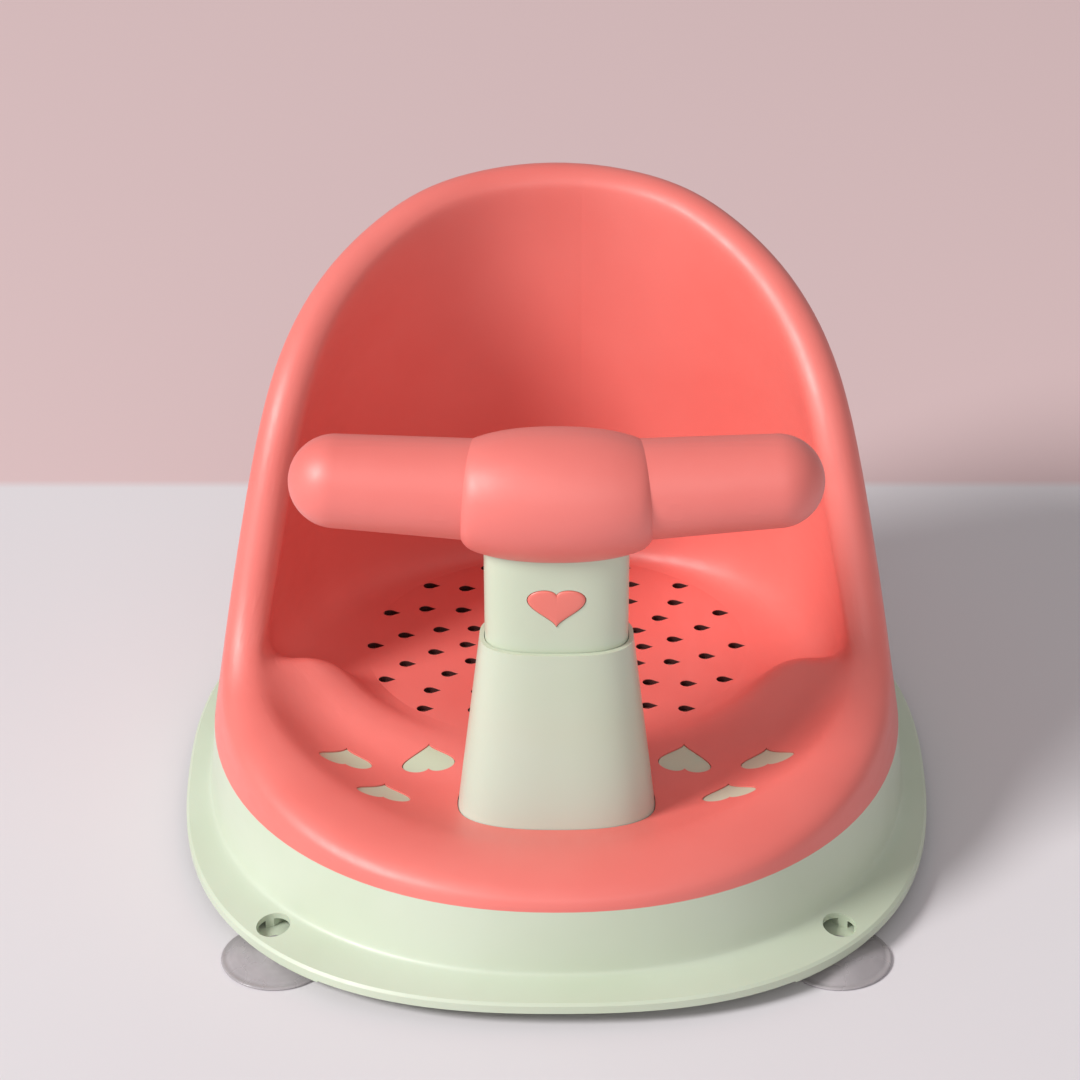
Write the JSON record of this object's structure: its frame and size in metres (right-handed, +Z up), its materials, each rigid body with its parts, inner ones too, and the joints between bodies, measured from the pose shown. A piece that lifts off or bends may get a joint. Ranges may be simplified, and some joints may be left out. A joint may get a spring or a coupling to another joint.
{
  "type": "baby bath seat",
  "caption": "Low round bath seat with a high wrap-around back, a drained floor, a front post with a padded T-bar and release button, and suction cups under a wide base.",
  "frame": {"origin": "on the bath's floor under the middle of the base, level with the lips of the suction cups", "axes": "+Z up, -Y towards the front where the post stands and the child faces, +X to the right seen from the front"},
  "size_m": [0.3519, 0.3758, 0.2592],
  "materials": {
    "rind_green": "soft gloss",
    "shell_coral": "soft gloss",
    "insert_green": "soft gloss",
    "sleeve_green": "soft gloss",
    "stem_green": "soft gloss",
    "plug_green": "soft gloss",
    "bar_coral_front": "soft gloss",
    "bar_coral_rear": "soft gloss",
    "button_coral": "soft gloss",
    "spring_steel": "satin",
    "tongue_acetal": "smooth",
    "cup_front_left": "soft, smooth and slightly see-through",
    "cup_front_right": "soft, smooth and slightly see-through",
    "cup_rear_left": "soft, smooth and slightly see-through",
    "cup_rear_right": "soft, smooth and slightly see-through",
    "seat_screw_steel": "satin",
    "sleeve_screw_steel": "satin",
    "plug_screw_steel": "satin",
    "bar_screw_steel": "satin",
    "cap_coral": "soft gloss"
  },
  "bodies": {
    "seat": {"base_rind": "rind_green", "seat_shell": "shell_coral", "heart_inserts": "insert_green", "post_sleeve": "sleeve_green", "suction_cup_front_left": "cup_front_left", "suction_cup_front_right": "cup_front_right", "suction_cup_rear_left": "cup_rear_left", "suction_cup_rear_right": "cup_rear_right", "seat_screws": "seat_screw_steel", "sleeve_screws": "sleeve_screw_steel"},
    "guard": {"guard_stem": "stem_green", "stem_plug": "plug_green", "plug_screws": "plug_screw_steel", "latch_tongue": "tongue_acetal", "button_spring": "spring_steel", "bar_front_shell": "bar_coral_front", "bar_rear_shell": "bar_coral_rear", "bar_screws": "bar_screw_steel", "bar_screw_caps": "cap_coral"},
    "release_button": {"heart_button": "button_coral"}
  },
  "joints": [
    {"name": "guard_lift", "type": "slide", "parent": "seat", "child": "guard", "axis": [0, 0, 1], "range_m": [0, 0.075], "deforming": ["latch_tongue"]},
    {"name": "button_press", "type": "slide", "parent": "guard", "child": "release_button", "axis": [0, 1, 0], "range_m": [0, 0.0035], "stiffness_N_per_m": 800, "springref_m": -0.001, "deforming": ["button_spring"]}
  ]
}
